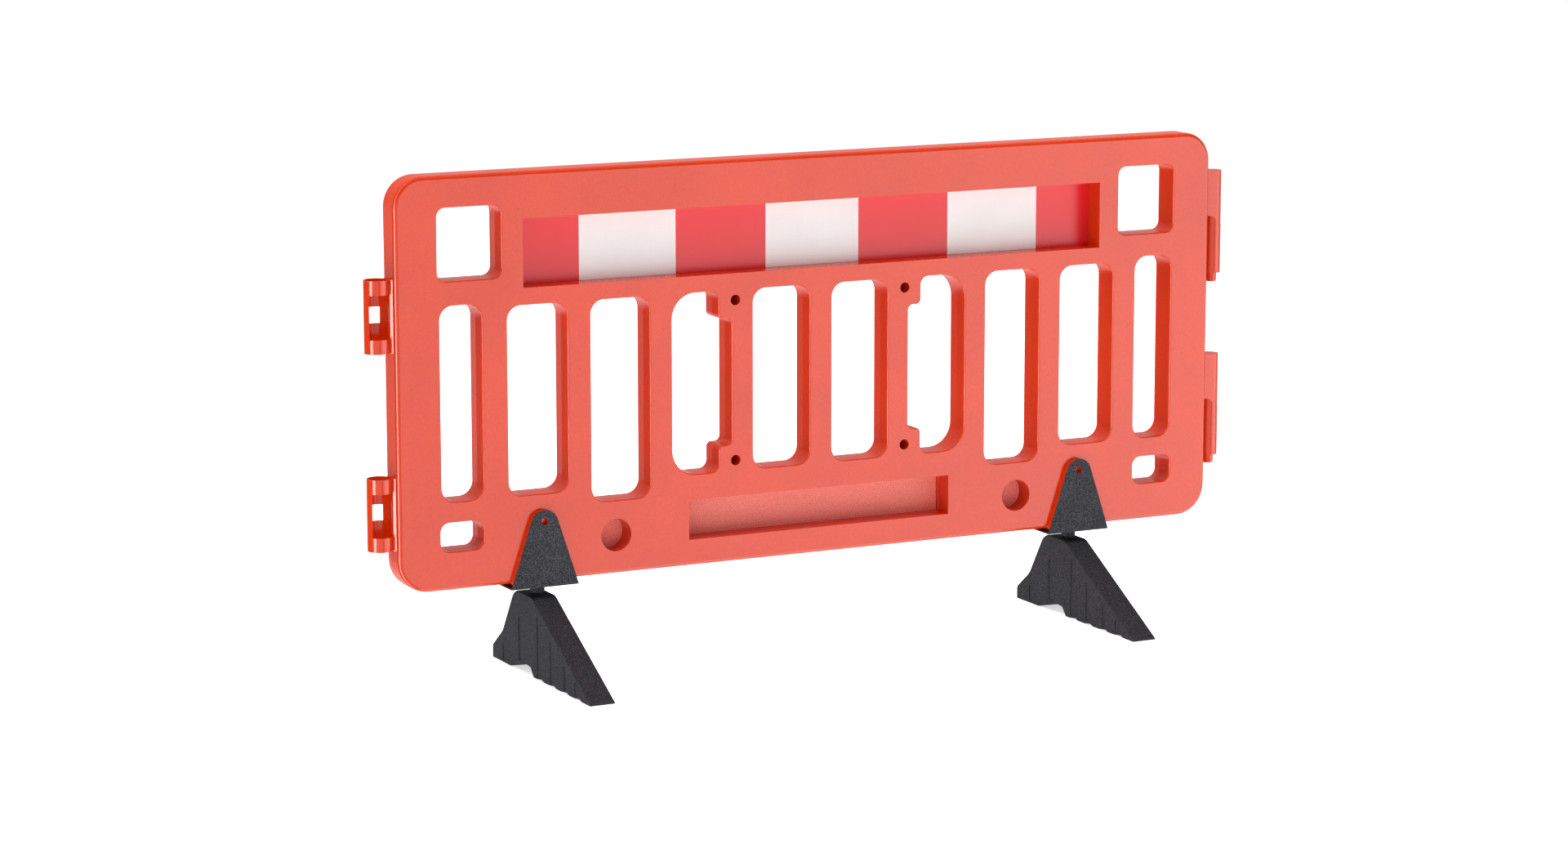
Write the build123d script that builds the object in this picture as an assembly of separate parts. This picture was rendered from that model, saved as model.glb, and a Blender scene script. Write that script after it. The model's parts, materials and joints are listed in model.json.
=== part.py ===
from build123d import *
import math
import os

os.makedirs("parts", exist_ok=True)

# ---------------------------------------------------------------- driving dimensions, mm
# Modelling frame: X along the barrier, Y = 0 on the panel's front face and positive to the
# rear, Z = 0 on the ground. Every part is moved by FRAME_SHIFT when it is written.

PANEL_LENGTH = 1900.0
PANEL_THICKNESS = 62.0
PANEL_BOTTOM = 196.8
PANEL_TOP = 1036.5
PANEL_TOP_RADIUS = 62.0
PANEL_BOTTOM_RADIUS = 66.0
PANEL_EDGE_FILLET = 8.0
SKIN = 4.0                      # wall of the hollow moulding
HOLE_DRAFT = 1.5                # degrees, each way from the parting plane
HOLE_RIM_FILLET = 2.5

SLOT_PITCH = 183.7
SLOT_COUNT_INNER = 8            # wide slots, four on each side of the centre
SLOT_WIDTH = 130.0
SLOT_TOP = 765.0
SLOT_BOTTOM_MID = 389.0         # slots 4 to 7
SLOT_BOTTOM_DEEP = 350.0        # slots 3 and 8
SLOT_BOTTOM_FOOT = 378.0        # slots 2 and 9, above the brackets
SLOT_RADIUS = 29.0
END_SLOT_WIDTH = 89.0
END_SLOT_TOP = 774.0
END_SLOT_X = PANEL_LENGTH / 2 - 140.3
NOTCH_STEP = 30.0               # slots 4 and 7 narrow by this much beside the sign holes
NOTCH_LOW = 444.0
NOTCH_HIGH = 707.0
NOTCH_RADIUS = 11.0
NOTCHED_SLOT_X = 275.0
NOTCHED_SLOT_WIDTH = 134.0
NOTCHED_OUTER_RADIUS = 52.0

HAND_HOLE_X = PANEL_LENGTH / 2 - 160.7
HAND_HOLE_Z = 898.0
HAND_HOLE_SIZE = (137.0, 146.0)
HAND_HOLE_RADIUS = 18.0
LOW_HOLE_X = PANEL_LENGTH / 2 - 138.3
LOW_HOLE_Z = 305.3
LOW_HOLE_SIZE = (92.0, 58.0)
LOW_HOLE_RADIUS = 19.0

BAND_LENGTH = 1346.0            # recess for the reflective blocks
BAND_BOTTOM = 800.6
BAND_TOP = 941.0
BAND_DEPTH = 49.0
SHEET_THICKNESS = 1.0
SHEET_MARGIN = 0.3              # gap between the sheet and the recess walls
SHEET_EDGES = (-529.0, -311.5, -105.0, 112.5, 326.0, 543.0)   # joints between the blocks

LABEL_LENGTH = 612.0            # blank recess below the slots
LABEL_BOTTOM = 251.0
LABEL_TOP = 335.0
LABEL_DEPTH = 55.0

TACK_X = 471.8                  # round recesses
TACK_Z = 276.8
TACK_RADIUS = 34.0
TACK_DEPTH = 44.0

SIGN_HOLE_X = 198.5
SIGN_HOLE_LOW = 410.0
SIGN_HOLE_HIGH = 745.0
SIGN_HOLE_RADIUS = 11.0
SIGN_HOLE_DEPTH = 50.0

SOCKET_BORE_RADIUS = 23.0
SOCKET_WALL = 3.0
SOCKET_OUTER_RADIUS = SOCKET_BORE_RADIUS + SOCKET_WALL
HINGE_END_GAP = 1.0              # between a socket and the panel's end
HINGE_X = PANEL_LENGTH / 2 + SOCKET_OUTER_RADIUS + HINGE_END_GAP   # vertical hinge axes, both ends
SOCKET_HEIGHT = 147.0
SOCKET_TOPS = {"upper": 833.0, "lower": 433.0}
SOCKET_RING = 29.0              # full ring above and below the front window
REAR_WINDOW_HEIGHT = 33.0
WEB_HALF = 14.0
WEB_FLARE = 6.0
HOOK_CLEARANCE = 3.0             # between a hook and the socket that it drops into
HOOK_RADIUS = SOCKET_BORE_RADIUS - HOOK_CLEARANCE
HOOK_TOPS = {"upper": 949.5, "lower": 546.0}
HOOK_ARM_HEIGHT = 98.0
HOOK_LENGTH = 224.5             # arm top to barrel end
HOOK_TIP_RADIUS = 12.0
HOOK_TIP_LENGTH = 20.0
HOOK_FILLET = 20.0
HOOK_RELIEF = 0.5               # arm and neck are thinner than the barrel by this much in radius

FOOT_X = {"left": -636.0, "right": 622.5}
PIVOT_Y = PANEL_THICKNESS / 2
BRACKET_HALF_WIDTH = 75.0
BRACKET_APEX_RADIUS = 30.0
BRACKET_APEX_Z = 315.5          # centre of the rounded apex
BRACKET_BOTTOM = 185.5
BRACKET_SHEET = 2.5
BRACKET_HOLE_Z = 322.0
BRACKET_HOLE_RADIUS = 8.0
PAD_HEIGHT = 9.0                # raised pads under the bracket's ears
PAD_INSET = 0.6
SCREW_X = 46.0
SCREW_BOSS_RADIUS = 11.0
SCREW_BOSS_TOP = 232.0
SCREW_RADIUS = 3.0
SCREW_CLEARANCE = 0.3
SCREW_HEAD_RADIUS = 6.5
SCREW_HEAD_HEIGHT = 3.6
SCREW_LENGTH = 34.0

FOOT_WIDTH = 54.0
FOOT_TOP = 165.0
COLLAR_RADIUS = 15.0
BOLT_RADIUS = 6.0
BOLT_CLEARANCE = 0.2
BUSH_WALL = 3.0
BUSH_FLANGE_RADIUS = 15.0
BUSH_FLANGE = 3.0
RUNNING_GAP = 0.4               # between the turning foot and what is fixed
POCKET_RADIUS = 19.0
POCKET_TOP = 78.0               # roof of the nut pocket in the foot
WASHER_RADIUS = 15.0
WASHER_THICKNESS = 2.5
NUT_ACROSS_FLATS = 18.0
NUT_HEIGHT = 12.0
BOLT_HEAD_HEIGHT = 7.5

# foot profile: distance behind the panel's front face and height above ground
FOOT_HEEL_Y = 205.0
FOOT_TOE_Y = -287.0
FOOT_ARCH = ((110.0, 0.0), (26.0, 19.8), (8.0, 18.0), (-8.0, 0.0))
SCALLOP_STARTS = (-22.0, -84.0, -146.0, -208.0)
SCALLOP_RUN = 27.0
SCALLOP_DROP = 10.0
SCALLOP_HEIGHT = 3.5
GROOVES = ((144.0, 40.0), (60.0, 112.0), (-33.0, 130.0), (-98.0, 90.0), (-166.0, 55.0), (-218.0, 32.0))
GROOVE_WIDTH = 14.0
GROOVE_DEPTH = 1.6
GROOVE_BOTTOM = 5.0

# ---------------------------------------------------------------- the shared frame
# The origin is the centre of the whole barrier's bounding box, on the ground.
X_LOW = -HINGE_X - SOCKET_OUTER_RADIUS
X_HIGH = HINGE_X + HOOK_RADIUS
FRAME_SHIFT = Vector(-(X_LOW + X_HIGH) / 2, -(FOOT_TOE_Y + FOOT_HEEL_Y) / 2, 0)


# ---------------------------------------------------------------- helpers
def save(shape, name):
    """Move a part into the shared frame and write it."""
    part = Pos(FRAME_SHIFT) * shape
    part.label = name
    export_step(part, f"parts/{name}.step")


def rounded_face(points):
    """Face in the XZ plane from (x, z, radius) corners, with tangent arcs at the corners."""
    count = len(points)
    starts, ends, mids = [], [], []
    for i, (x, z, r) in enumerate(points):
        corner = Vector(x, z)
        before = (Vector(*points[i - 1][:2]) - corner).normalized()
        after = (Vector(*points[(i + 1) % count][:2]) - corner).normalized()
        if r <= 0:
            starts.append(corner)
            ends.append(corner)
            mids.append(None)
            continue
        half = math.acos(max(-1.0, min(1.0, before.dot(after)))) / 2
        reach = r / math.tan(half)
        bisector = (before + after).normalized()
        centre = corner + bisector * (r / math.sin(half))
        starts.append(corner + before * reach)
        ends.append(corner + after * reach)
        mids.append(centre - bisector * r)
    edges = []
    for i in range(count):
        if mids[i] is not None:
            edges.append(ThreePointArc(starts[i], mids[i], ends[i]))
        following = starts[(i + 1) % count]
        if (following - ends[i]).length > 1e-6:
            edges.append(Line(ends[i], following))
    return make_face(edges)


def rect_corners(x, z, width, height, radius):
    """Corners of an upright rectangle centred on (x, z)."""
    w, h = width / 2, height / 2
    return [(x - w, z - h, radius), (x + w, z - h, radius), (x + w, z + h, radius), (x - w, z + h, radius)]


def grown(points, margin):
    """The same outline moved outward by margin, for the wall around a hole."""
    cx = sum(p[0] for p in points) / len(points)
    cz = sum(p[1] for p in points) / len(points)
    return [
        (x + math.copysign(margin, x - cx), z + math.copysign(margin, z - cz), r + margin if r > 0 else 0)
        for x, z, r in points
    ]


def prism(face, y0, y1):
    """Extrude an XZ outline from y0 to y1."""
    return extrude(Plane.XZ.offset(-y0) * face, amount=-(y1 - y0))


def cylinder_y(x, z, radius, y0, y1):
    """Cylinder along Y."""
    return prism(Pos(x, z) * Circle(radius), y0, y1)


def cylinder_z(x, y, radius, z0, z1):
    """Cylinder along Z."""
    return extrude(Pos(x, y, z0) * Circle(radius), amount=z1 - z0)


def block(x0, x1, y0, y1, z0, z1):
    """Box between two corners."""
    return Pos((x0 + x1) / 2, (y0 + y1) / 2, (z0 + z1) / 2) * Box(x1 - x0, y1 - y0, z1 - z0)


def mirrored(points):
    """The same outline on the other side of the panel's centre."""
    return [(-x, z, r) for x, z, r in reversed(points)]


# ---------------------------------------------------------------- panel moulding
def slot_outline(index):
    """Outline of slot index 1 to 5, counted from the left end, left half only."""
    if index == 1:
        height = END_SLOT_TOP - SLOT_BOTTOM_FOOT
        return rect_corners(-END_SLOT_X, SLOT_BOTTOM_FOOT + height / 2, END_SLOT_WIDTH, height, SLOT_RADIUS)
    if index == 4:
        left = -NOTCHED_SLOT_X - NOTCHED_SLOT_WIDTH / 2
        right = left + NOTCHED_SLOT_WIDTH
        step = right - NOTCH_STEP
        return [
            (left, SLOT_BOTTOM_MID, NOTCHED_OUTER_RADIUS),
            (step, SLOT_BOTTOM_MID, SLOT_RADIUS * 0.6),
            (step, NOTCH_LOW, NOTCH_RADIUS),
            (right, NOTCH_LOW, NOTCH_RADIUS),
            (right, NOTCH_HIGH, NOTCH_RADIUS),
            (step, NOTCH_HIGH, NOTCH_RADIUS),
            (step, SLOT_TOP, SLOT_RADIUS * 0.6),
            (left, SLOT_TOP, NOTCHED_OUTER_RADIUS),
        ]
    bottom = {2: SLOT_BOTTOM_FOOT, 3: SLOT_BOTTOM_DEEP, 5: SLOT_BOTTOM_MID}[index]
    x = -SLOT_PITCH * (5.5 - index)
    return rect_corners(x, (SLOT_TOP + bottom) / 2, SLOT_WIDTH, SLOT_TOP - bottom, SLOT_RADIUS)


def through_outlines():
    """Every outline that goes right through the panel."""
    half = [slot_outline(i) for i in range(1, 6)]
    half.append(rect_corners(-HAND_HOLE_X, HAND_HOLE_Z, *HAND_HOLE_SIZE, HAND_HOLE_RADIUS))
    half.append(rect_corners(-LOW_HOLE_X, LOW_HOLE_Z, *LOW_HOLE_SIZE, LOW_HOLE_RADIUS))
    return half + [mirrored(points) for points in half]


def grown_slot(points, margin):
    """Wall outline round a hole; the notched slots keep their step."""
    if len(points) == 4:
        return [rounded_face(grown(points, margin))]
    xs = sorted({p[0] for p in points})
    left, right = xs[0] - margin, xs[-1] + margin
    radius = NOTCHED_OUTER_RADIUS + margin
    return [
        rounded_face(rect_corners((left + right) / 2, (SLOT_TOP + SLOT_BOTTOM_MID) / 2,
                                  right - left, SLOT_TOP - SLOT_BOTTOM_MID + 2 * margin, radius * 0.5)),
    ]


def panel_outline(inset):
    """Outer outline of the panel, moved inward by inset."""
    half = PANEL_LENGTH / 2 - inset
    low, high = PANEL_BOTTOM + inset, PANEL_TOP - inset
    rt, rb = PANEL_TOP_RADIUS - inset, PANEL_BOTTOM_RADIUS - inset
    return [(-half, low, rb), (half, low, rb), (half, high, rt), (-half, high, rt)]


def bracket_outline(x, inset, bottom):
    """Triangular ear with a rounded apex, as an XZ face."""
    slope_drop = BRACKET_APEX_Z - BRACKET_BOTTOM
    r = BRACKET_APEX_RADIUS
    # tangent from the lower corner to the apex circle
    distance = math.hypot(BRACKET_HALF_WIDTH, slope_drop)
    angle = math.atan2(slope_drop, BRACKET_HALF_WIDTH)
    lean = angle + math.asin(r / distance)          # direction of the side above horizontal
    r = r - inset
    half = BRACKET_HALF_WIDTH - inset / math.sin(lean)
    nx, nz = math.sin(lean), math.cos(lean)
    touch = (r * nx, BRACKET_APEX_Z + r * nz)
    foot = half - (bottom - BRACKET_BOTTOM) / math.tan(lean)
    return make_face([
        Line((x - foot, bottom), (x + foot, bottom)),
        Line((x + foot, bottom), (x + touch[0], touch[1])),
        ThreePointArc((x + touch[0], touch[1]), (x, BRACKET_APEX_Z + r), (x - touch[0], touch[1])),
        Line((x - touch[0], touch[1]), (x - foot, bottom)),
    ])


def make_panel():
    """Hollow moulding with drafted holes, recesses, pads and screw bosses."""
    mid = PANEL_THICKNESS / 2
    body = prism(rounded_face(panel_outline(0)), 0, PANEL_THICKNESS)
    for points in through_outlines():
        face = rounded_face(points)
        for direction in (1, -1):
            plane = Plane.XZ.offset(-mid)
            body -= extrude(plane * face, amount=direction * (mid + 0.5), taper=-HOLE_DRAFT)
    rims = [
        e for e in body.edges()
        if (abs(e.center().Y) < 0.01 or abs(e.center().Y - PANEL_THICKNESS) < 0.01)
        and abs(e.center().X) < PANEL_LENGTH / 2 - 30
        and PANEL_BOTTOM + 30 < e.center().Z < PANEL_TOP - 30
    ]
    body = fillet(rims, HOLE_RIM_FILLET)
    outer = [
        e for e in body.edges()
        if (abs(e.center().Y) < 0.01 or abs(e.center().Y - PANEL_THICKNESS) < 0.01)
        and not (abs(e.center().X) < PANEL_LENGTH / 2 - 30
                 and PANEL_BOTTOM + 30 < e.center().Z < PANEL_TOP - 30)
    ]
    body = fillet(outer, PANEL_EDGE_FILLET)

    # recesses, all from the front
    body -= block(-BAND_LENGTH / 2, BAND_LENGTH / 2, -1, BAND_DEPTH, BAND_BOTTOM, BAND_TOP)
    body -= block(-LABEL_LENGTH / 2, LABEL_LENGTH / 2, -1, LABEL_DEPTH, LABEL_BOTTOM, LABEL_TOP)
    for side in (-1, 1):
        body -= cylinder_y(side * TACK_X, TACK_Z, TACK_RADIUS, -1, TACK_DEPTH)
        for z in (SIGN_HOLE_LOW, SIGN_HOLE_HIGH):
            body -= cylinder_y(side * SIGN_HOLE_X, z, SIGN_HOLE_RADIUS, -1, SIGN_HOLE_DEPTH)

    # hollow, kept SKIN away from every outer surface
    hollow = prism(rounded_face(panel_outline(SKIN)), SKIN, PANEL_THICKNESS - SKIN)
    hollow = fillet(hollow.edges().filter_by(lambda e: abs(e.center().Y - SKIN) < 0.01
                                             or abs(e.center().Y - PANEL_THICKNESS + SKIN) < 0.01),
                    PANEL_EDGE_FILLET - SKIN)
    for points in through_outlines():
        for face in grown_slot(points, SKIN):
            hollow -= prism(face, 0, PANEL_THICKNESS)
    s = SKIN
    hollow -= block(-BAND_LENGTH / 2 - s, BAND_LENGTH / 2 + s, 0, BAND_DEPTH + s, BAND_BOTTOM - s, BAND_TOP + s)
    hollow -= block(-LABEL_LENGTH / 2 - s, LABEL_LENGTH / 2 + s, 0, PANEL_THICKNESS, LABEL_BOTTOM - s, LABEL_TOP + s)
    for side in (-1, 1):
        hollow -= cylinder_y(side * TACK_X, TACK_Z, TACK_RADIUS + s, 0, TACK_DEPTH + s)
        for z in (SIGN_HOLE_LOW, SIGN_HOLE_HIGH):
            hollow -= cylinder_y(side * SIGN_HOLE_X, z, SIGN_HOLE_RADIUS + s, 0, PANEL_THICKNESS)
    for x in FOOT_X.values():
        for side in (-1, 1):
            hollow -= cylinder_z(x + side * SCREW_X, PIVOT_Y, SCREW_BOSS_RADIUS, PANEL_BOTTOM, SCREW_BOSS_TOP)
    body -= hollow

    # pads under the bracket ears, bosses and holes for the bracket screws
    flange_top = BRACKET_BOTTOM + BRACKET_SHEET
    for x in FOOT_X.values():
        ear = bracket_outline(x, PAD_INSET, PANEL_BOTTOM)
        reach = PANEL_EDGE_FILLET
        body += prism(ear, -PAD_HEIGHT, 0) + prism(ear, PANEL_THICKNESS, PANEL_THICKNESS + PAD_HEIGHT)
        foot_half = BRACKET_HALF_WIDTH - 6
        for y0, y1 in ((0, reach), (PANEL_THICKNESS - reach, PANEL_THICKNESS)):
            corner = block(x - foot_half, x + foot_half, y0, y1, PANEL_BOTTOM, PANEL_BOTTOM + reach)
            body += corner
        for y0, y1 in ((-PAD_HEIGHT - 1, 0), (PANEL_THICKNESS, PANEL_THICKNESS + PAD_HEIGHT + 1)):
            body -= cylinder_y(x, BRACKET_HOLE_Z, BRACKET_HOLE_RADIUS, y0, y1)
        for side in (-1, 1):
            sx = x + side * SCREW_X
            body += cylinder_z(sx, PIVOT_Y, SCREW_BOSS_RADIUS, flange_top, PANEL_BOTTOM + SKIN)
            body -= cylinder_z(sx, PIVOT_Y, SCREW_RADIUS + SCREW_CLEARANCE, flange_top - 1,
                               BRACKET_BOTTOM + SCREW_LENGTH + 4)
    return body


# ---------------------------------------------------------------- hinge pieces
def make_socket(top):
    """Open tube with a front window, a smaller rear window and a web to the panel end."""
    end = -PANEL_LENGTH / 2
    low = top - SOCKET_HEIGHT
    y = PIVOT_Y
    web = make_face(Polyline([
        (-HINGE_X, y - WEB_HALF), (end - WEB_FLARE, y - WEB_HALF), (end, y - WEB_HALF - WEB_FLARE),
        (end, y + WEB_HALF + WEB_FLARE), (end - WEB_FLARE, y + WEB_HALF), (-HINGE_X, y + WEB_HALF),
        (-HINGE_X, y - WEB_HALF),
    ]))
    tube = cylinder_z(-HINGE_X, y, SOCKET_OUTER_RADIUS, low, top)
    tube -= block(end, end + 20, 0, PANEL_THICKNESS, low - 1, top + 1)
    body = tube + extrude(Pos(0, 0, low) * web, amount=SOCKET_HEIGHT)
    body -= cylinder_z(-HINGE_X, y, SOCKET_BORE_RADIUS, low - 1, top + 1)
    angle = math.radians(35)
    left = -HINGE_X - SOCKET_OUTER_RADIUS * math.cos(angle)
    right = -HINGE_X + SOCKET_BORE_RADIUS * 0.86
    middle = (low + top) / 2
    body -= block(left, right, y - 40, y, low + SOCKET_RING, top - SOCKET_RING)
    half = REAR_WINDOW_HEIGHT / 2
    body -= block(left, -HINGE_X + 15, y, y + 40, middle - half, middle + half)
    return body


def make_hook(top):
    """Arm from the panel end with a hanging barrel and a thinner, rounded tip."""
    end = PANEL_LENGTH / 2
    y = PIVOT_Y
    r = HOOK_RADIUS - HOOK_RELIEF
    under = top - HOOK_ARM_HEIGHT
    shoulder = under - HOOK_FILLET
    bottom = top - HOOK_LENGTH
    plan = make_face([
        Line((end, y - r), (HINGE_X, y - r)),
        ThreePointArc((HINGE_X, y - r), (HINGE_X + r, y), (HINGE_X, y + r)),
        Line((HINGE_X, y + r), (end, y + r)),
        Line((end, y + r), (end, y - r)),
    ])
    arm = extrude(Pos(0, 0, shoulder) * plan, amount=HOOK_ARM_HEIGHT + HOOK_FILLET)
    # the arm's underside arches down into the neck
    arch_x = HINGE_X - HOOK_FILLET + 1.0
    arm -= cylinder_y(arch_x, shoulder, HOOK_FILLET, y - r - 1, y + r + 1)
    arm -= block(end - 1, arch_x, y - r - 1, y + r + 1, shoulder - 1, shoulder)
    neck = cylinder_z(HINGE_X, y, r - 0.1, shoulder - 1, under + 5)
    # the barrel is the bearing surface: its full round wall ends at the shoulder
    barrel = cylinder_z(HINGE_X, y, HOOK_RADIUS, bottom, shoulder)
    tip = cylinder_z(HINGE_X, y, HOOK_TIP_RADIUS, bottom - HOOK_TIP_LENGTH, bottom + 1)
    tip = fillet(tip.edges().sort_by(Axis.Z)[0], 3.5)
    return arm + neck + barrel + tip


# ---------------------------------------------------------------- reflective sheeting
def make_sheet(x0, x1):
    """One block of sheeting on the floor of the band recess."""
    return block(x0, x1, BAND_DEPTH - SHEET_THICKNESS, BAND_DEPTH,
                 BAND_BOTTOM + SHEET_MARGIN, BAND_TOP - SHEET_MARGIN)


# ---------------------------------------------------------------- foot assemblies
def make_bracket(x):
    """Folded saddle: two ears and a flange under the panel."""
    outer_y = PAD_HEIGHT + BRACKET_SHEET
    front = prism(bracket_outline(x, 0, BRACKET_BOTTOM), -outer_y, -PAD_HEIGHT)
    rear = prism(bracket_outline(x, 0, BRACKET_BOTTOM), PANEL_THICKNESS + PAD_HEIGHT, PANEL_THICKNESS + outer_y)
    half = BRACKET_HALF_WIDTH - BRACKET_SHEET / math.tan(math.radians(71))
    flange = block(x - half, x + half, -outer_y, PANEL_THICKNESS + outer_y,
                   BRACKET_BOTTOM, BRACKET_BOTTOM + BRACKET_SHEET)
    body = front + rear + flange
    folds = [e for e in body.edges()
             if abs(e.center().Z - BRACKET_BOTTOM) < 0.01 and e.length > 100
             and (abs(e.center().Y + outer_y) < 0.01 or abs(e.center().Y - PANEL_THICKNESS - outer_y) < 0.01)]
    body = fillet(folds, 2.0)
    body -= cylinder_y(x, BRACKET_HOLE_Z, BRACKET_HOLE_RADIUS, -outer_y - 1, -PAD_HEIGHT + 1)
    body -= cylinder_y(x, BRACKET_HOLE_Z, BRACKET_HOLE_RADIUS, PANEL_THICKNESS + PAD_HEIGHT - 1,
                       PANEL_THICKNESS + outer_y + 1)
    low, high = BRACKET_BOTTOM - 1, BRACKET_BOTTOM + BRACKET_SHEET + 1
    body -= cylinder_z(x, PIVOT_Y, BOLT_RADIUS + BOLT_CLEARANCE, low, high)
    for side in (-1, 1):
        body -= cylinder_z(x + side * SCREW_X, PIVOT_Y, SCREW_RADIUS + SCREW_CLEARANCE, low, high)
    return body


def make_bracket_screws(x):
    """The two screws that hold the flange to the panel, heads below."""
    screws = []
    for side in (-1, 1):
        sx = x + side * SCREW_X
        head = cylinder_z(sx, PIVOT_Y, SCREW_HEAD_RADIUS, BRACKET_BOTTOM - SCREW_HEAD_HEIGHT, BRACKET_BOTTOM)
        head = fillet(head.edges().sort_by(Axis.Z)[0], 1.5)
        head -= Pos(sx, PIVOT_Y, BRACKET_BOTTOM - SCREW_HEAD_HEIGHT + 0.9) * extrude(
            RegularPolygon(2.3, 6), amount=1.8, both=True)
        shank = cylinder_z(sx, PIVOT_Y, SCREW_RADIUS, BRACKET_BOTTOM, BRACKET_BOTTOM + SCREW_LENGTH)
        shank = chamfer(shank.edges().sort_by(Axis.Z)[-1], 1.2)
        screws.append(head + shank)
    return Compound(children=screws)


def make_collar(x):
    """Spacer between the bracket and the foot's bush."""
    body = cylinder_z(x, PIVOT_Y, COLLAR_RADIUS, FOOT_TOP + BUSH_FLANGE + RUNNING_GAP, BRACKET_BOTTOM)
    body = chamfer(body.edges().sort_by(Axis.Z)[0], 1.0)
    return body - cylinder_z(x, PIVOT_Y, BOLT_RADIUS + BOLT_CLEARANCE, FOOT_TOP, BRACKET_BOTTOM + 1)


def make_bolt(x):
    """Pivot bolt: head on the flange, shank down to the lock nut."""
    top = BRACKET_BOTTOM + BRACKET_SHEET
    end = POCKET_TOP - WASHER_THICKNESS - RUNNING_GAP - NUT_HEIGHT - 4
    head = extrude(Pos(x, PIVOT_Y, top) * RegularPolygon(NUT_ACROSS_FLATS / 2, 6, major_radius=False),
                   amount=BOLT_HEAD_HEIGHT)
    shank = cylinder_z(x, PIVOT_Y, BOLT_RADIUS, end, top)
    return head + chamfer(shank.edges().sort_by(Axis.Z)[0], 1.2)


def make_washer(x):
    """Plain washer under the foot's pocket roof."""
    high = POCKET_TOP - RUNNING_GAP
    low = high - WASHER_THICKNESS
    body = cylinder_z(x, PIVOT_Y, WASHER_RADIUS, low, high)
    return body - cylinder_z(x, PIVOT_Y, BOLT_RADIUS + BOLT_CLEARANCE, low - 1, high + 1)


def make_nut(x):
    """Lock nut with a rounded collar at its lower end."""
    high = POCKET_TOP - RUNNING_GAP - WASHER_THICKNESS
    low = high - NUT_HEIGHT
    hexagon = extrude(Pos(x, PIVOT_Y, low + 3) * RegularPolygon(NUT_ACROSS_FLATS / 2, 6, major_radius=False),
                      amount=NUT_HEIGHT - 3)
    crown = cylinder_z(x, PIVOT_Y, NUT_ACROSS_FLATS / 2 - 0.6, low, low + 3)
    crown = fillet(crown.edges().sort_by(Axis.Z)[0], 1.2)
    return hexagon + crown - cylinder_z(x, PIVOT_Y, BOLT_RADIUS + 0.05, low - 1, high + 1)


def make_bush(x):
    """Flanged bush pressed into the foot; it turns on the bolt."""
    high = FOOT_TOP + BUSH_FLANGE
    body = cylinder_z(x, PIVOT_Y, BUSH_FLANGE_RADIUS, FOOT_TOP, high)
    body = fillet(body.edges().sort_by(Axis.Z)[-1], 0.8)
    body += cylinder_z(x, PIVOT_Y, BOLT_RADIUS + BOLT_CLEARANCE + BUSH_WALL, POCKET_TOP, FOOT_TOP)
    return body - cylinder_z(x, PIVOT_Y, BOLT_RADIUS + BOLT_CLEARANCE, POCKET_TOP - 1, high + 1)


def foot_profile():
    """Side view of the foot as (y, z, radius) corners."""
    points = [
        (FOOT_HEEL_Y, 0.0, 0.0),
        (FOOT_HEEL_Y, 26.0, 12.0),
        (152.0, 66.0, 55.0),
        (94.0, 157.0, 40.0),
        (76.0, FOOT_TOP, 8.0),
        (0.0, FOOT_TOP, 34.0),
        (FOOT_TOE_Y, 4.5, 0.0),
        (FOOT_TOE_Y, 0.0, 0.0),
    ]
    sole = []
    for start in reversed(SCALLOP_STARTS):
        sole += [(start - SCALLOP_RUN - SCALLOP_DROP, 0.0, 0.0), (start - SCALLOP_RUN, SCALLOP_HEIGHT, 2.5),
                 (start, 0.0, 0.0)]
    for y, z in reversed(FOOT_ARCH):
        sole.append((y, z, 6.0 if z > 0 else 0.0))
    return points + sole


def make_foot(x):
    """Foot block with arch, scalloped sole, side grooves, bush bore and nut pocket."""
    face = rounded_face(foot_profile())
    half = FOOT_WIDTH / 2
    body = extrude(Plane.YZ.offset(x - half) * face, amount=FOOT_WIDTH)
    long_edges = [e for e in body.edges()
                  if abs(abs(e.center().X - x) - half) < 0.01 and e.center().Z > 30
                  and e.center().Y < FOOT_HEEL_Y - 5]
    body = fillet(long_edges, 2.0)
    for y, high in GROOVES:
        low = GROOVE_BOTTOM if abs(y - 60.0) > 1 else 22.0
        for side in (-1, 1):
            x0 = x + side * (half - GROOVE_DEPTH)
            x1 = x + side * (half + 1)
            body -= block(min(x0, x1), max(x0, x1), y - GROOVE_WIDTH / 2, y + GROOVE_WIDTH / 2, low, high)
    body -= cylinder_z(x, PIVOT_Y, BOLT_RADIUS + BOLT_CLEARANCE + BUSH_WALL, POCKET_TOP - 1, FOOT_TOP + 1)
    body -= cylinder_z(x, PIVOT_Y, POCKET_RADIUS, 0, POCKET_TOP)
    return body


# ---------------------------------------------------------------- write everything
def main():
    """Write one STEP file for each piece."""
    save(make_panel(), "panel_moulding")
    for level in ("upper", "lower"):
        save(make_socket(SOCKET_TOPS[level]), f"hinge_socket_{level}")
        save(make_hook(HOOK_TOPS[level]), f"hinge_hook_{level}")
    half = BAND_LENGTH / 2 - SHEET_MARGIN
    edges = (-half,) + SHEET_EDGES + (half,)
    for i in range(7):
        colour = "red" if i % 2 == 0 else "white"
        save(make_sheet(edges[i], edges[i + 1]), f"reflective_{colour}_{i // 2 + 1}")
    for side, x in FOOT_X.items():
        save(make_bracket(x), f"{side}_saddle_bracket")
        save(make_bracket_screws(x), f"{side}_bracket_screws")
        save(make_collar(x), f"{side}_pivot_collar")
        save(make_bolt(x), f"{side}_pivot_bolt")
        save(make_washer(x), f"{side}_pivot_washer")
        save(make_nut(x), f"{side}_lock_nut")
        save(make_bush(x), f"{side}_foot_bush")
        save(make_foot(x), f"{side}_foot_block")


main()
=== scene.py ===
"""Looks for the plastic pedestrian barrier: finishes, floor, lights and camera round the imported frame."""

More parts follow.
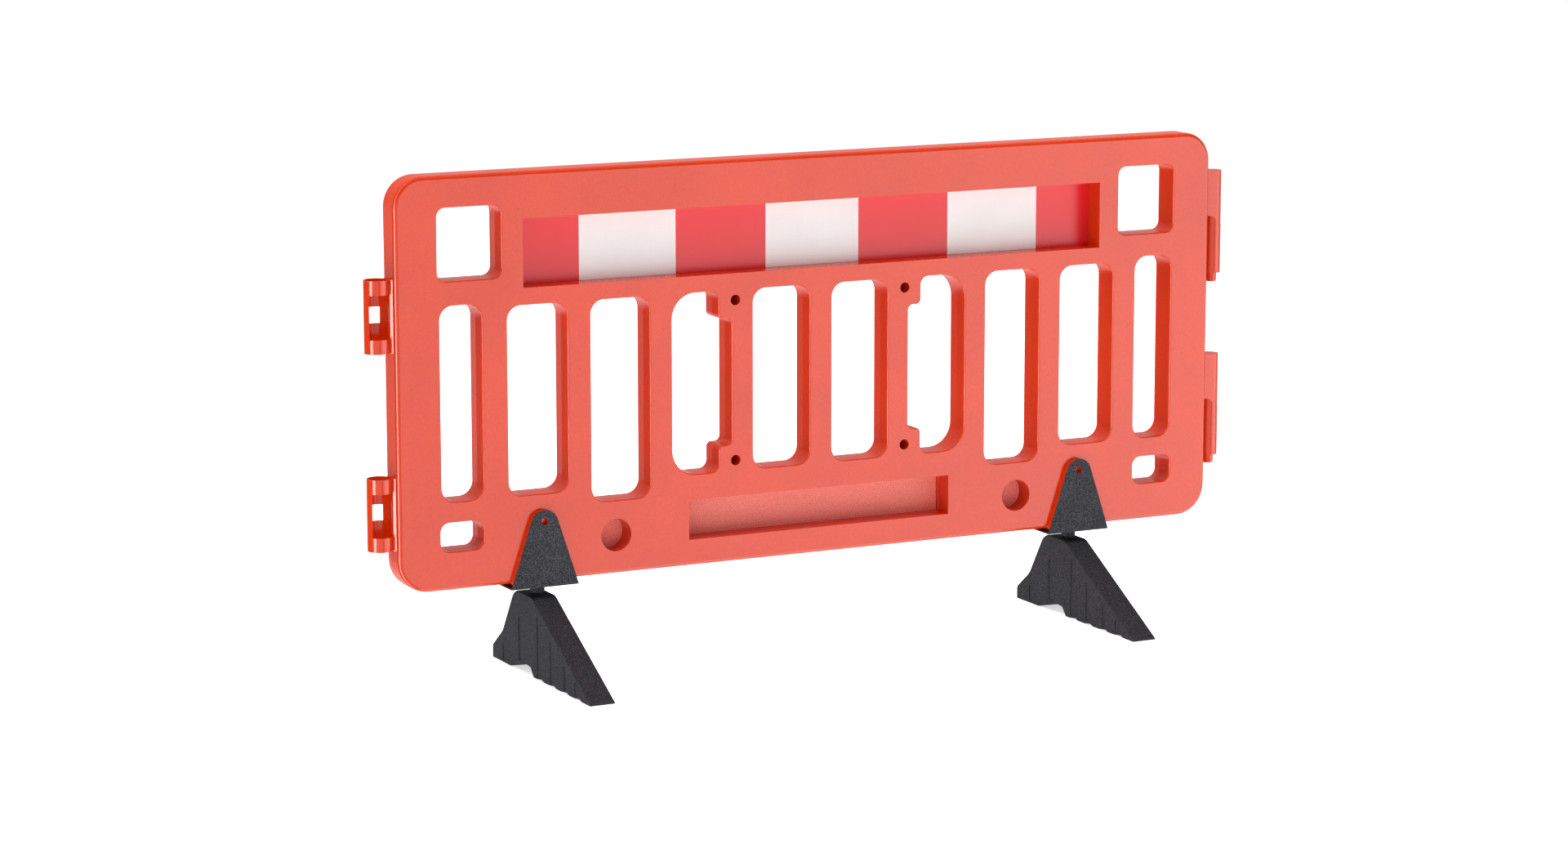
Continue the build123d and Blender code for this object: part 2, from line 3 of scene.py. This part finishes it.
import json
import logging
import math
from dataclasses import dataclass, field
from enum import Enum

import bpy
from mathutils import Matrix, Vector

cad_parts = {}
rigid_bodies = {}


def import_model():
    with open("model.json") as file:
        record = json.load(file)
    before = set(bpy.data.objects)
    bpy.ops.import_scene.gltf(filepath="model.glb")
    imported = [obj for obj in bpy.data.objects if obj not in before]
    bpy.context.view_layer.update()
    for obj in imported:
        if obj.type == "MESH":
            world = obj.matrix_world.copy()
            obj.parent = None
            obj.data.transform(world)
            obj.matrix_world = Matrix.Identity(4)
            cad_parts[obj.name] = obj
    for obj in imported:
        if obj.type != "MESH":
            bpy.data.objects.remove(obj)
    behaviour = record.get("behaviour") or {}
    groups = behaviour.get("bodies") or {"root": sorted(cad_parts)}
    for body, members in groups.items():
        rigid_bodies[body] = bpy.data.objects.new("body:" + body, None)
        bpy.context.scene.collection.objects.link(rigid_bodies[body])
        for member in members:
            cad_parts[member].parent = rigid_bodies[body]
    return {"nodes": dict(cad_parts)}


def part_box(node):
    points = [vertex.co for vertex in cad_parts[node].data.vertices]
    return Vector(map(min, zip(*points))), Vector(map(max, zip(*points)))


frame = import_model()

LOG = logging.getLogger("barrier")
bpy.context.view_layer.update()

Colour = tuple[float, float, float, float]

# A Mix node in colour mode has its two colours and its result at these places.
MIX_FIRST = 6
MIX_SECOND = 7
MIX_RESULT = 2

# Slow patterns fade between these two levels of their noise.
SOFT_STOPS = (0.3, 0.7)
FULL_TURN = 360.0


class Side(Enum):
    """Which foot of the barrier."""

    LEFT = "left"
    RIGHT = "right"


class Level(Enum):
    """Which of the two hinge heights."""

    UPPER = "upper"
    LOWER = "lower"


def linear(red: float, green: float, blue: float) -> Colour:
    """Turn an sRGB colour with channels from 0 to 255 into a linear one.

    Args:
        red: Red channel.
        green: Green channel.
        blue: Blue channel.

    Returns:
        The linear colour with an alpha of 1.
    """

    def channel(value: float) -> float:
        """One channel, by the sRGB curve."""
        v = value / 255.0
        return v / 12.92 if v <= 0.04045 else ((v + 0.055) / 1.055) ** 2.4

    return (channel(red), channel(green), channel(blue), 1.0)


def grey(level: float) -> Colour:
    """Make a neutral colour from one linear level.

    Args:
        level: The level of all three channels.

    Returns:
        The colour with an alpha of 1.
    """
    return (level, level, level, 1.0)


def arithmetic(
    tree: bpy.types.NodeTree,
    operation: str,
    first: bpy.types.NodeSocket,
    second: bpy.types.NodeSocket | float,
) -> bpy.types.Node:
    """Add a Math node.

    Args:
        tree: The tree that it goes in.
        operation: What it works out.
        first: Its first value.
        second: Its second value, or a number that stays the same.

    Returns:
        The Math node.
    """
    node = tree.nodes.new("ShaderNodeMath")
    node.operation = operation
    tree.links.new(first, node.inputs[0])
    if isinstance(second, bpy.types.NodeSocket):
        tree.links.new(second, node.inputs[1])
    else:
        node.inputs[1].default_value = second
    return node


# ---------------------------------------------------------------- finishes
@dataclass(frozen=True)
class Finish:
    """A material made of nodes, read in Object coordinates."""

    name: str

    def start(self) -> tuple[bpy.types.Material, bpy.types.NodeTree, bpy.types.Node, bpy.types.Node]:
        """Make an empty node material.

        Returns:
            The material, its tree, the shader and the coordinate node.
        """
        material = bpy.data.materials.new(self.name)
        material.use_nodes = True
        tree = material.node_tree
        tree.nodes.clear()
        output = tree.nodes.new("ShaderNodeOutputMaterial")
        shader = tree.nodes.new("ShaderNodeBsdfPrincipled")
        where = tree.nodes.new("ShaderNodeTexCoord")
        tree.links.new(shader.outputs["BSDF"], output.inputs["Surface"])
        return material, tree, shader, where

    def noise(
        self, tree: bpy.types.NodeTree, where: bpy.types.Node, scale: float, detail: float = 3.0
    ) -> bpy.types.Node:
        """Add a noise texture in Object coordinates.

        Args:
            tree: The material's tree.
            where: The coordinate node.
            scale: Features per metre.
            detail: Octaves of detail.

        Returns:
            The noise node.
        """
        node = tree.nodes.new("ShaderNodeTexNoise")
        node.inputs["Scale"].default_value = scale
        node.inputs["Detail"].default_value = detail
        tree.links.new(where.outputs["Object"], node.inputs["Vector"])
        return node

    def ramp(
        self,
        tree: bpy.types.NodeTree,
        source: bpy.types.NodeSocket,
        stops: list[tuple[float, Colour]],
    ) -> bpy.types.Node:
        """Add a colour ramp.

        Args:
            tree: The material's tree.
            source: The value that drives the ramp.
            stops: Position and colour of each stop, in order.

        Returns:
            The ramp node.
        """
        node = tree.nodes.new("ShaderNodeValToRGB")
        while len(node.color_ramp.elements) < len(stops):
            node.color_ramp.elements.new(0.5)
        for element, (position, colour) in zip(node.color_ramp.elements, stops):
            element.position = position
            element.color = colour
        tree.links.new(source, node.inputs["Fac"])
        return node

    def bump(
        self,
        tree: bpy.types.NodeTree,
        source: bpy.types.NodeSocket,
        shader: bpy.types.Node,
        strength: float,
        distance: float,
        before: bpy.types.Node | None = None,
    ) -> bpy.types.Node:
        """Raise the surface by a pattern.

        Args:
            tree: The material's tree.
            source: Height of the pattern.
            shader: The shader that the normal goes to.
            strength: How strongly it shows.
            distance: Height in metres of a full step.
            before: Another bump that this one adds to.

        Returns:
            The bump node.
        """
        node = tree.nodes.new("ShaderNodeBump")
        node.inputs["Strength"].default_value = strength
        node.inputs["Distance"].default_value = distance
        tree.links.new(source, node.inputs["Height"])
        if before is not None:
            tree.links.new(before.outputs["Normal"], node.inputs["Normal"])
        tree.links.new(node.outputs["Normal"], shader.inputs["Normal"])
        return node

    def tint(
        self,
        tree: bpy.types.NodeTree,
        tone: bpy.types.NodeSocket,
        shade: bpy.types.NodeSocket,
        factor: float,
    ) -> bpy.types.NodeSocket:
        """Darken a colour by a second one.

        Args:
            tree: The material's tree.
            tone: The colour.
            shade: What it is multiplied by.
            factor: How strongly.

        Returns:
            The darkened colour.
        """
        mix = tree.nodes.new("ShaderNodeMix")
        mix.data_type = "RGBA"
        mix.blend_type = "MULTIPLY"
        mix.inputs["Factor"].default_value = factor
        tree.links.new(tone, mix.inputs[MIX_FIRST])
        tree.links.new(shade, mix.inputs[MIX_SECOND])
        return mix.outputs[MIX_RESULT]


@dataclass(frozen=True)
class MouldedPlastic(Finish):
    """Semi-gloss polyethylene: slow shifts of tone, fine mottling, frosted recess floors whose pale pink is
    a painted sheen.
    """

    deep: Colour = linear(198, 47, 2)
    light: Colour = linear(214, 55, 4)
    # The recess floors' pale pink colours are a painted sheen, varied by their real frosted grain.
    frost_and_sheen_deep: Colour = linear(226, 112, 100)
    frost_and_sheen: Colour = linear(252, 160, 148)
    gloss: tuple[float, float] = (0.17, 0.23)
    frost_roughness: float = 0.9
    frost_and_sheen_bands: tuple[tuple[float, float], ...] = ()
    frost_and_sheen_top: float = 0.0
    cloud_scale: float = 5.0
    cloud_detail: float = 4.0
    mottle_scale: float = 260.0
    mottle_share: float = 0.5
    swell_scale: float = 9.0
    swell_detail: float = 1.0
    frost_scale: float = 520.0
    tone_stops: tuple[float, float] = (0.36, 0.64)
    frost_stops: tuple[float, float] = (0.38, 0.62)
    swell_relief: tuple[float, float] = (0.06, 0.003)
    mottle_relief: tuple[float, float] = (0.03, 0.0003)
    frost_relief: tuple[float, float] = (0.5, 0.0012)

    def band(
        self, tree: bpy.types.NodeTree, value: bpy.types.NodeSocket, low: float, high: float
    ) -> bpy.types.NodeSocket:
        """Mark where a value lies between two limits.

        Args:
            tree: The material's tree.
            value: The value to test.
            low: Lower limit.
            high: Upper limit.

        Returns:
            One inside the limits and nought outside.
        """
        over = arithmetic(tree, "GREATER_THAN", value, low)
        under = arithmetic(tree, "LESS_THAN", value, high)
        both = arithmetic(tree, "MULTIPLY", over.outputs["Value"], under.outputs["Value"])
        return both.outputs["Value"]

    def recess_floors(self, tree: bpy.types.NodeTree, where: bpy.types.Node) -> bpy.types.NodeSocket:
        """Mark the floors of the low recesses, which come frosted from the mould and carry a painted sheen.

        Args:
            tree: The material's tree.
            where: The coordinate node.

        Returns:
            One on those floors and nought elsewhere.
        """
        split = tree.nodes.new("ShaderNodeSeparateXYZ")
        tree.links.new(where.outputs["Object"], split.inputs["Vector"])
        floors = [self.band(tree, split.outputs["Y"], low, high) for low, high in self.frost_and_sheen_bands]
        total = floors[0]
        for floor in floors[1:]:
            total = arithmetic(tree, "ADD", total, floor).outputs["Value"]
        below = self.band(tree, split.outputs["Z"], 0.0, self.frost_and_sheen_top)
        both = arithmetic(tree, "MULTIPLY", total, below)
        both.use_clamp = True
        return both.outputs["Value"]

    def build(self) -> bpy.types.Material:
        """Make the material.

        Returns:
            The material.
        """
        material, tree, shader, where = self.start()
        cloud = self.noise(tree, where, self.cloud_scale, self.cloud_detail)
        mottle = self.noise(tree, where, self.mottle_scale)
        blend = tree.nodes.new("ShaderNodeMix")
        blend.inputs["Factor"].default_value = self.mottle_share
        tree.links.new(cloud.outputs["Fac"], blend.inputs["A"])
        tree.links.new(mottle.outputs["Fac"], blend.inputs["B"])
        tones = list(zip(self.tone_stops, (self.deep, self.light)))
        tone = self.ramp(tree, blend.outputs["Result"], tones)
        sheens = list(zip(SOFT_STOPS, (grey(level) for level in self.gloss)))
        sheen = self.ramp(tree, mottle.outputs["Fac"], sheens)
        swell = self.noise(tree, where, self.swell_scale, self.swell_detail)
        waves = self.bump(tree, swell.outputs["Fac"], shader, *self.swell_relief)
        fine = self.bump(tree, mottle.outputs["Fac"], shader, *self.mottle_relief, waves)
        if self.frost_and_sheen_bands:
            self.add_frost_and_sheen(tree, where, shader, tone, sheen, fine)
        else:
            tree.links.new(tone.outputs["Color"], shader.inputs["Base Color"])
            tree.links.new(sheen.outputs["Color"], shader.inputs["Roughness"])
        return material

    def add_frost_and_sheen(
        self,
        tree: bpy.types.NodeTree,
        where: bpy.types.Node,
        shader: bpy.types.Node,
        tone: bpy.types.Node,
        sheen: bpy.types.Node,
        fine: bpy.types.Node,
    ) -> None:
        """Make the recess floors rough and grainy, and pale by a painted sheen.

        Args:
            tree: The material's tree.
            where: The coordinate node.
            shader: The shader.
            tone: Colour of the rest of the surface.
            sheen: Roughness of the rest of the surface.
            fine: The bump that the grain adds to.
        """
        floors = self.recess_floors(tree, where)
        grain = self.noise(tree, where, self.frost_scale)
        frost_and_sheen_tones = list(zip(self.frost_stops, (self.frost_and_sheen_deep, self.frost_and_sheen)))
        frost_and_sheen = self.ramp(tree, grain.outputs["Fac"], frost_and_sheen_tones)
        # Painted sheen: the recess floors take the pale pink colours as their base colour.
        colour = tree.nodes.new("ShaderNodeMix")
        colour.data_type = "RGBA"
        tree.links.new(floors, colour.inputs["Factor"])
        tree.links.new(tone.outputs["Color"], colour.inputs[MIX_FIRST])
        tree.links.new(frost_and_sheen.outputs["Color"], colour.inputs[MIX_SECOND])
        tree.links.new(colour.outputs[MIX_RESULT], shader.inputs["Base Color"])
        rough = tree.nodes.new("ShaderNodeMix")
        rough.inputs["B"].default_value = self.frost_roughness
        tree.links.new(floors, rough.inputs["Factor"])
        tree.links.new(sheen.outputs["Color"], rough.inputs["A"])
        tree.links.new(rough.outputs["Result"], shader.inputs["Roughness"])
        relief = arithmetic(tree, "MULTIPLY", grain.outputs["Fac"], floors)
        self.bump(tree, relief.outputs["Value"], shader, *self.frost_relief, fine)


@dataclass(frozen=True)
class ReflectiveFilm(Finish):
    """Retroreflective sheeting: a close cell pattern under a clear face."""

    colour: Colour = linear(223, 26, 36)
    seam: Colour = linear(208, 16, 26)
    cells: float = 340.0
    unevenness: float = 0.25
    seam_width: float = 0.12
    cell_relief: tuple[float, float] = (0.08, 0.0003)
    cloud_scale: float = 14.0
    cloud_shade: Colour = grey(0.93)
    cloud_factor: float = 0.5
    roughness: float = 0.3

    def build(self) -> bpy.types.Material:
        """Make the material.

        Returns:
            The material.
        """
        material, tree, shader, where = self.start()
        cell = tree.nodes.new("ShaderNodeTexVoronoi")
        cell.feature = "DISTANCE_TO_EDGE"
        cell.inputs["Scale"].default_value = self.cells
        cell.inputs["Randomness"].default_value = self.unevenness
        tree.links.new(where.outputs["Object"], cell.inputs["Vector"])
        tone = self.ramp(tree, cell.outputs["Distance"], [(0.0, self.seam), (self.seam_width, self.colour)])
        cloud = self.noise(tree, where, self.cloud_scale)
        shades = list(zip(SOFT_STOPS, (self.cloud_shade, grey(1.0))))
        shade = self.ramp(tree, cloud.outputs["Fac"], shades)
        tinted = self.tint(tree, tone.outputs["Color"], shade.outputs["Color"], self.cloud_factor)
        tree.links.new(tinted, shader.inputs["Base Color"])
        self.bump(tree, cell.outputs["Distance"], shader, *self.cell_relief)
        shader.inputs["Roughness"].default_value = self.roughness
        return material


@dataclass(frozen=True)
class SpeckledCoat(Finish):
    """Dark textured coat: fine light specks over a rough, even ground."""

    ground: Colour = linear(34, 35, 39)
    speck: Colour = linear(84, 85, 89)
    scale: float = 520.0
    detail: float = 4.0
    roughness: float = 0.8
    relief: float = 0.0005
    specular: float = 0.15
    speck_stops: tuple[float, float] = (0.40, 0.66)
    relief_strength: float = 0.55
    cloud_scale: float = 16.0
    cloud_shade: Colour = (0.86, 0.86, 0.87, 1.0)
    cloud_factor: float = 0.8

    def build(self) -> bpy.types.Material:
        """Make the material.

        Returns:
            The material.
        """
        material, tree, shader, where = self.start()
        grain = self.noise(tree, where, self.scale, self.detail)
        tones = list(zip(self.speck_stops, (self.ground, self.speck)))
        tone = self.ramp(tree, grain.outputs["Fac"], tones)
        cloud = self.noise(tree, where, self.cloud_scale)
        shades = list(zip(SOFT_STOPS, (self.cloud_shade, grey(1.0))))
        shade = self.ramp(tree, cloud.outputs["Fac"], shades)
        tinted = self.tint(tree, tone.outputs["Color"], shade.outputs["Color"], self.cloud_factor)
        tree.links.new(tinted, shader.inputs["Base Color"])
        self.bump(tree, grain.outputs["Fac"], shader, self.relief_strength, self.relief)
        shader.inputs["Roughness"].default_value = self.roughness
        shader.inputs["Specular IOR Level"].default_value = self.specular
        return material


@dataclass(frozen=True)
class ZincPlate(Finish):
    """Bright zinc with soft clouding and a fine grain."""

    deep: Colour = linear(168, 170, 172)
    light: Colour = linear(206, 206, 202)
    gloss: tuple[float, float] = (0.26, 0.42)
    cloud_scale: float = 120.0
    cloud_detail: float = 4.0
    grain_scale: float = 1500.0
    grain_detail: float = 2.0
    grain_relief: tuple[float, float] = (0.15, 0.0002)

    def build(self) -> bpy.types.Material:
        """Make the material.

        Returns:
            The material.
        """
        material, tree, shader, where = self.start()
        cloud = self.noise(tree, where, self.cloud_scale, self.cloud_detail)
        tone = self.ramp(tree, cloud.outputs["Fac"], list(zip(SOFT_STOPS, (self.deep, self.light))))
        tree.links.new(tone.outputs["Color"], shader.inputs["Base Color"])
        sheens = list(zip(SOFT_STOPS, (grey(level) for level in self.gloss)))
        sheen = self.ramp(tree, cloud.outputs["Fac"], sheens)
        tree.links.new(sheen.outputs["Color"], shader.inputs["Roughness"])
        grain = self.noise(tree, where, self.grain_scale, self.grain_detail)
        self.bump(tree, grain.outputs["Fac"], shader, *self.grain_relief)
        shader.inputs["Metallic"].default_value = 1.0
        return material


# ---------------------------------------------------------------- sub-assemblies
def clear_selection() -> None:
    """Deselect everything, because an operator acts on all that is selected."""
    for obj in bpy.context.view_layer.objects:
        obj.select_set(False)


def dress(node: str, material: bpy.types.Material) -> None:
    """Give a CAD node its finish.

    Args:
        node: The node's name.
        material: Its finish.
    """
    data = frame["nodes"][node].data
    data.materials.clear()
    data.materials.append(material)
    LOG.info("dressed %s with %s", node, material.name)


@dataclass
class Panel:
    """The moulded panel with its hinge pieces. Its depths repeat the part's own, in metres."""

    thickness: float = 0.062
    label_depth: float = 0.055
    round_depth: float = 0.044
    floor_band: float = 0.0006
    frost_and_sheen_top: float = 0.345

    def frost_and_sheen_floors(self) -> tuple[tuple[float, float], ...]:
        """Find how far back the floors of the low recesses lie.

        Returns:
            The lowest and highest Y of each floor.
        """
        low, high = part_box("panel_moulding")
        front = (low[1] + high[1] - self.thickness) / 2.0
        return tuple(
            (front + depth - self.floor_band, front + depth + self.floor_band)
            for depth in (self.round_depth, self.label_depth)
        )

    def build(self) -> None:
        """Dress the panel, sockets and hooks."""
        moulded = MouldedPlastic(
            "orange_plastic_moulded", frost_and_sheen_bands=self.frost_and_sheen_floors(), frost_and_sheen_top=self.frost_and_sheen_top
        )
        dress("panel_moulding", moulded.build())
        material = MouldedPlastic("orange_plastic_hinge").build()
        for level in Level:
            dress(f"hinge_socket_{level.value}", material)
            dress(f"hinge_hook_{level.value}", material)


@dataclass
class ReflectiveBand:
    """Red and white blocks in turn on the floor of the upper recess."""

    red: ReflectiveFilm = field(default_factory=lambda: ReflectiveFilm("red_film"))
    white: ReflectiveFilm = field(
        default_factory=lambda: ReflectiveFilm("white_film", linear(241, 243, 243), linear(230, 232, 232))
    )
    red_count: int = 4
    white_count: int = 3

    def build(self) -> None:
        """Dress the blocks."""
        red, white = self.red.build(), self.white.build()
        for i in range(1, self.red_count + 1):
            dress(f"reflective_red_{i}", red)
        for i in range(1, self.white_count + 1):
            dress(f"reflective_white_{i}", white)


@dataclass
class Foot:
    """One bracket, its fasteners, and the foot that turns below it."""

    side: Side
    coat: bpy.types.Material
    compound: bpy.types.Material
    zinc: bpy.types.Material
    nylon: bpy.types.Material

    def build(self) -> None:
        """Dress every piece of this foot."""
        name = self.side.value
        dress(f"{name}_saddle_bracket", self.coat)
        dress(f"{name}_pivot_collar", self.coat)
        for piece in ("bracket_screws", "pivot_bolt", "pivot_washer", "lock_nut"):
            dress(f"{name}_{piece}", self.zinc)
        dress(f"{name}_foot_bush", self.nylon)
        dress(f"{name}_foot_block", self.compound)


# ---------------------------------------------------------------- studio
@dataclass(frozen=True)
class Lamp:
    """One large soft light."""

    name: str
    at: tuple[float, float, float]
    to: tuple[float, float, float]
    size: tuple[float, float]
    watts: float


@dataclass
class Studio:
    """Floor, soft lights and camera.

    Each stop of a ring is its degrees round from +X and its brightness. Gloss alone sees the rings.
    """

    camera_at: tuple[float, float, float] = (-4.0347, -7.7299, 2.0175)
    yaw: float = 26.952
    pitch: float = 10.022
    lens: float = 97.67
    sensor: float = 36.0
    far_clip: float = 200.0
    floor_size: float = 60.0
    floor_drop: float = 0.0005
    floor_white: float = 0.96
    floor_glow: float = 0.57
    fill: float = 0.47
    ring_full: float = 18.0
    low_ring: tuple[tuple[float, float], ...] = (
        (0.0, 0.75),
        (80.0, 0.80),
        (108.0, 0.80),
        (115.0, 0.02),
        (188.0, 0.02),
        (195.0, 18.0),
        (209.0, 18.0),
        (216.0, 0.05),
        (226.0, 1.50),
        (270.0, 1.50),
        (276.0, 0.05),
        (281.0, 0.05),
        (288.0, 2.5),
        (298.0, 3.3),
        (306.0, 4.3),
        (332.0, 4.3),
        (346.0, 0.8),
    )
    high_ring: tuple[tuple[float, float], ...] = (
        (0.0, 0.38),
        (110.0, 0.38),
        (124.0, 0.20),
        (188.0, 0.20),
        (195.0, 5.0),
        (209.0, 5.0),
        (216.0, 0.20),
        (340.0, 0.20),
    )
    split_low: float = 0.02
    split_high: float = 0.08
    lamps: tuple[Lamp, ...] = (
        Lamp("front_soft", (-1.4, -6.5, 2.0), (0.0, 0.0, 0.5), (4.0, 3.0), 6.0),
        Lamp("top_soft", (0.0, 0.3, 4.2), (0.0, 0.0, 0.5), (6.0, 4.0), 225.0),
        Lamp("left_soft", (-5.0, 0.2, 1.8), (-0.9, 0.0, 0.8), (3.0, 2.0), 32.0),
        Lamp("rear_soft", (1.5, 6.0, 2.2), (0.0, 0.0, 0.5), (4.5, 3.5), 90.0),
    )

    def floor(self) -> None:
        """Lay a plain white floor that gloss looks straight past."""
        clear_selection()
        bpy.ops.mesh.primitive_plane_add(size=self.floor_size, location=(0.0, 0.0, -self.floor_drop))
        obj = bpy.context.object
        obj.name = "studio_floor"
        obj.visible_glossy = False
        obj.visible_shadow = False
        material = bpy.data.materials.new("studio_floor_white")
        material.use_nodes = True
        shader = material.node_tree.nodes["Principled BSDF"]
        shader.inputs["Base Color"].default_value = grey(self.floor_white)
        shader.inputs["Roughness"].default_value = 1.0
        shader.inputs["Specular IOR Level"].default_value = 0.0
        shader.inputs["Emission Color"].default_value = grey(1.0)
        shader.inputs["Emission Strength"].default_value = self.floor_glow
        obj.data.materials.append(material)

    def hang(self, lamp: Lamp) -> None:
        """Hang one lamp, which the camera doesn't see.

        Args:
            lamp: What to hang, and where.
        """
        data = bpy.data.lights.new(lamp.name, "AREA")
        data.shape = "RECTANGLE"
        data.size, data.size_y = lamp.size
        data.energy = lamp.watts
        obj = bpy.data.objects.new(lamp.name, data)
        bpy.context.scene.collection.objects.link(obj)
        obj.location = lamp.at
        obj.rotation_euler = (Vector(lamp.to) - Vector(lamp.at)).to_track_quat("-Z", "Y").to_euler()
        obj.visible_camera = False
        obj.visible_glossy = False

    def one_ring(
        self,
        tree: bpy.types.NodeTree,
        turn: bpy.types.NodeSocket,
        stops: tuple[tuple[float, float], ...],
    ) -> bpy.types.NodeSocket:
        """Stand bright cards and dark gaps in one ring.

        Args:
            tree: The world's tree.
            turn: How far round a direction lies, from 0 to 1.
            stops: Degrees and brightness of each stop.

        Returns:
            The share of full brightness for each direction.
        """
        ramp = tree.nodes.new("ShaderNodeValToRGB")
        while len(ramp.color_ramp.elements) < len(stops):
            ramp.color_ramp.elements.new(0.5)
        for element, (degrees, level) in zip(ramp.color_ramp.elements, stops):
            element.position = degrees / FULL_TURN
            element.color = grey(level / self.ring_full)
        tree.links.new(turn, ramp.inputs["Fac"])
        return ramp.outputs["Color"]

    def card_rings(self, tree: bpy.types.NodeTree) -> bpy.types.NodeSocket:
        """Stand a low and a high ring of cards, for gloss to pick up.

        Args:
            tree: The world's tree.

        Returns:
            The brightness for each direction.
        """
        where = tree.nodes.new("ShaderNodeTexCoord")
        split = tree.nodes.new("ShaderNodeSeparateXYZ")
        tree.links.new(where.outputs["Generated"], split.inputs["Vector"])
        angle = arithmetic(tree, "ARCTAN2", split.outputs["Y"], split.outputs["X"])
        turn = arithmetic(tree, "MULTIPLY", angle.outputs["Value"], 1.0 / math.tau)
        wrap = arithmetic(tree, "FLOORED_MODULO", turn.outputs["Value"], 1.0)
        height = tree.nodes.new("ShaderNodeMapRange")
        height.inputs["From Min"].default_value = self.split_low
        height.inputs["From Max"].default_value = self.split_high
        tree.links.new(split.outputs["Z"], height.inputs["Value"])
        rings = tree.nodes.new("ShaderNodeMix")
        rings.data_type = "RGBA"
        tree.links.new(height.outputs["Result"], rings.inputs["Factor"])
        tree.links.new(self.one_ring(tree, wrap.outputs["Value"], self.low_ring), rings.inputs[MIX_FIRST])
        tree.links.new(self.one_ring(tree, wrap.outputs["Value"], self.high_ring), rings.inputs[MIX_SECOND])
        level = arithmetic(tree, "MULTIPLY", rings.outputs[MIX_RESULT], self.ring_full)
        return level.outputs["Value"]

    def surroundings(self) -> None:
        """Set white surroundings: bright to the eye, soft as fill, cards in gloss."""
        world = bpy.data.worlds.new("studio_white")
        bpy.context.scene.world = world
        world.use_nodes = True
        tree = world.node_tree
        ground = tree.nodes["Background"]
        ground.inputs["Color"].default_value = grey(1.0)
        path = tree.nodes.new("ShaderNodeLightPath")
        seen = tree.nodes.new("ShaderNodeMix")
        seen.inputs["A"].default_value = self.fill
        seen.inputs["B"].default_value = 1.0
        tree.links.new(path.outputs["Is Camera Ray"], seen.inputs["Factor"])
        gloss = tree.nodes.new("ShaderNodeMix")
        tree.links.new(path.outputs["Is Glossy Ray"], gloss.inputs["Factor"])
        tree.links.new(seen.outputs["Result"], gloss.inputs["A"])
        tree.links.new(self.card_rings(tree), gloss.inputs["B"])
        tree.links.new(gloss.outputs["Result"], ground.inputs["Strength"])

    def camera(self) -> None:
        """Set the camera."""
        data = bpy.data.cameras.new("studio_camera")
        data.lens = self.lens
        data.sensor_width = self.sensor
        data.clip_end = self.far_clip
        obj = bpy.data.objects.new("studio_camera", data)
        bpy.context.scene.collection.objects.link(obj)
        obj.location = self.camera_at
        obj.rotation_euler = (math.radians(90.0 - self.pitch), 0.0, math.radians(-self.yaw))
        bpy.context.scene.camera = obj

    def build(self) -> None:
        """Make the floor, lights and camera."""
        self.floor()
        self.surroundings()
        for lamp in self.lamps:
            self.hang(lamp)
        self.camera()
        bpy.context.scene.view_settings.view_transform = "Standard"
        LOG.info("studio set with %d lamps", len(self.lamps))


def main() -> None:
    """Build every sub-assembly in order."""
    logging.basicConfig(level=logging.INFO, format="%(name)s: %(message)s")
    Panel().build()
    ReflectiveBand().build()
    coat = SpeckledCoat("textured_coat").build()
    compound = SpeckledCoat(
        "recycled_compound",
        ground=linear(24, 26, 30),
        speck=linear(66, 66, 70),
        scale=480.0,
        specular=0.2,
    ).build()
    zinc = ZincPlate("zinc_plate").build()
    nylon = SpeckledCoat(
        "black_nylon",
        ground=linear(28, 28, 30),
        speck=linear(40, 40, 42),
        scale=500.0,
        roughness=0.45,
        relief=0.0002,
    ).build()
    for side in Side:
        Foot(side, coat, compound, zinc, nylon).build()
    Studio().build()


if __name__ == "__main__":
    main()
